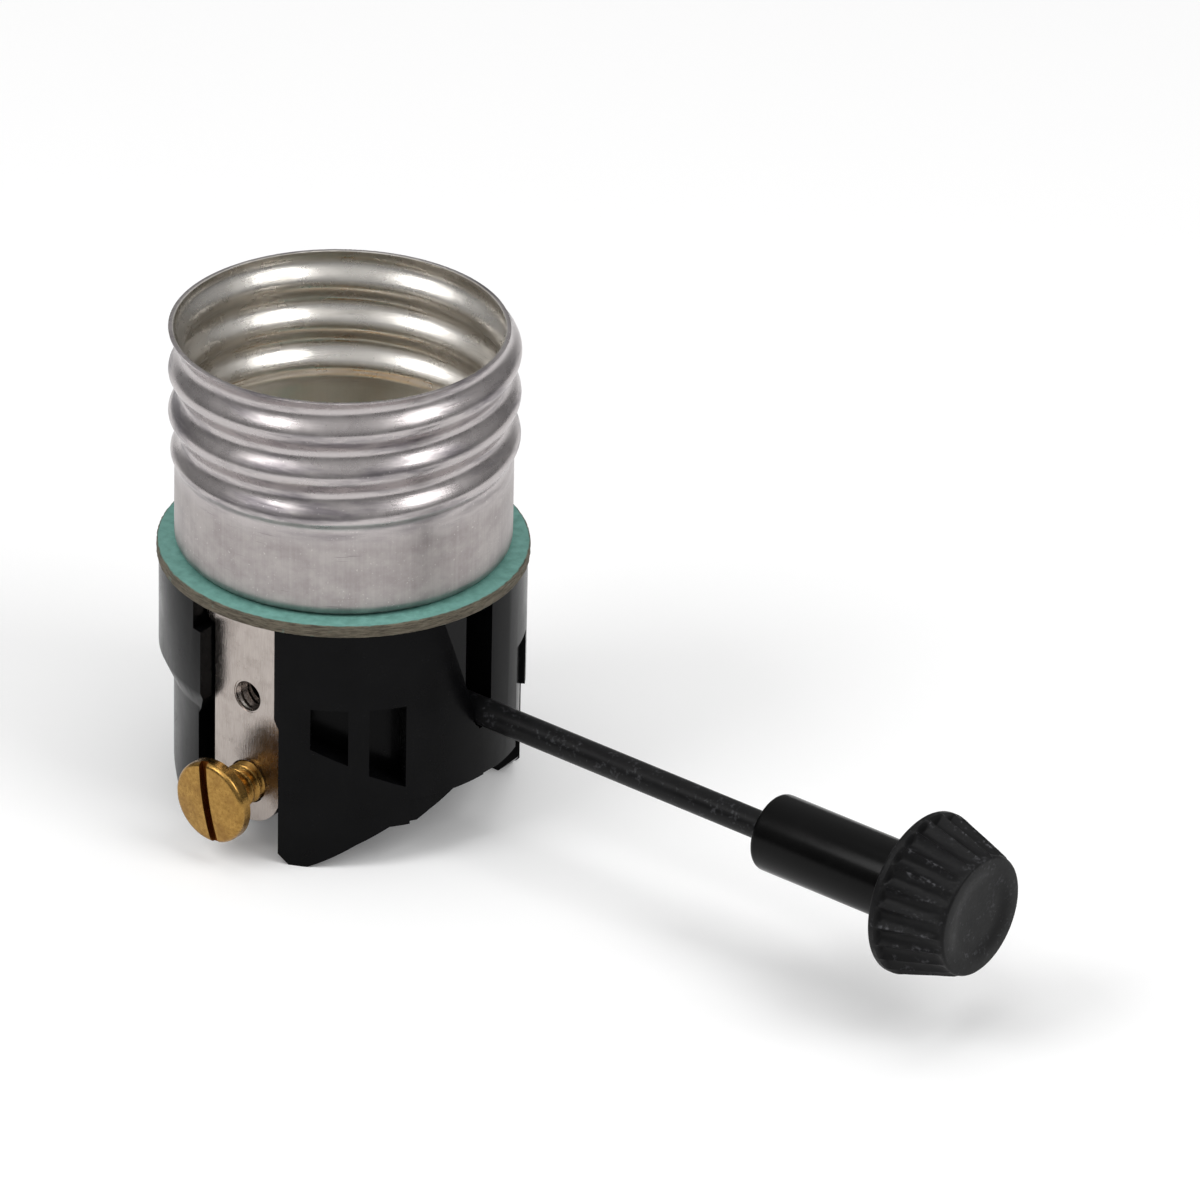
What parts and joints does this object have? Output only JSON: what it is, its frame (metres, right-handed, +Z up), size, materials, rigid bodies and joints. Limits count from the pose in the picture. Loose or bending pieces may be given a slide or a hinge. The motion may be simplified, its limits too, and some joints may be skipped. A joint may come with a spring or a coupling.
{
  "type": "lamp holder interior",
  "caption": "Interior of a turn-knob lamp holder: rolled-thread screw shell on a fibre disc and moulded housing, side terminals, and a long switch shaft with a fluted knob.",
  "frame": {"origin": "lamp axis at the upper face of the insulating disc, where the screw shell stands", "axes": "+Z up the lamp axis out of the screw shell, +X along the switch shaft towards the knob, -Y towards the line terminal"},
  "size_m": [0.0777, 0.0354, 0.0403],
  "materials": {
    "aluminium": "drawn and rolled, satin",
    "green_fibre": "vulcanised fibre, painted green on its faces",
    "black_phenolic": "moulded, glossy",
    "brown_phenolic": "moulded",
    "nickel_plate": "nickel plated brass strip",
    "plated_steel": "bright plated steel",
    "brass": "turned",
    "bronze": "rolled spring strip",
    "black_nylon": "moulded, scuffed",
    "gloss_black_plastic": "moulded, glossy",
    "matt_black_plastic": "moulded, scuffed"
  },
  "bodies": {
    "holder": {"screw_shell": "aluminium", "insulating_disc": "green_fibre", "centre_contact": "bronze", "housing": "black_phenolic", "line_terminal_strap": "nickel_plate", "shell_terminal_strap": "nickel_plate", "centre_contact_rivet": "brass", "shell_terminal_rivet": "brass", "line_contact_rivet": "brass", "body_rivets": "brass", "switch_frame": "plated_steel", "detent_spring": "plated_steel", "detent_rivet": "brass", "line_contact_spring": "bronze", "lamp_contact_spring": "bronze"},
    "switch": {"switch_shaft": "black_nylon", "shaft_clip": "plated_steel", "switch_rotor": "brown_phenolic", "rotor_contact": "bronze", "extension_sleeve": "gloss_black_plastic", "knob": "matt_black_plastic", "knob_insert": "brass"},
    "line_screw": {"line_terminal_screw": "brass"},
    "shell_screw": {"shell_terminal_screw": "plated_steel"}
  },
  "joints": [
    {"name": "switch_turn", "type": "hinge", "parent": "holder", "child": "switch", "pos_m": [0, 0, -0.01035], "axis": [1, 0, 0], "continuous": true},
    {"name": "line_screw_travel", "type": "slide", "parent": "holder", "child": "line_screw", "axis": [0, 1, 0], "range_m": [0, 0.0035]},
    {"name": "shell_screw_travel", "type": "slide", "parent": "holder", "child": "shell_screw", "axis": [0, -1, 0], "range_m": [0, 0.0035]}
  ]
}
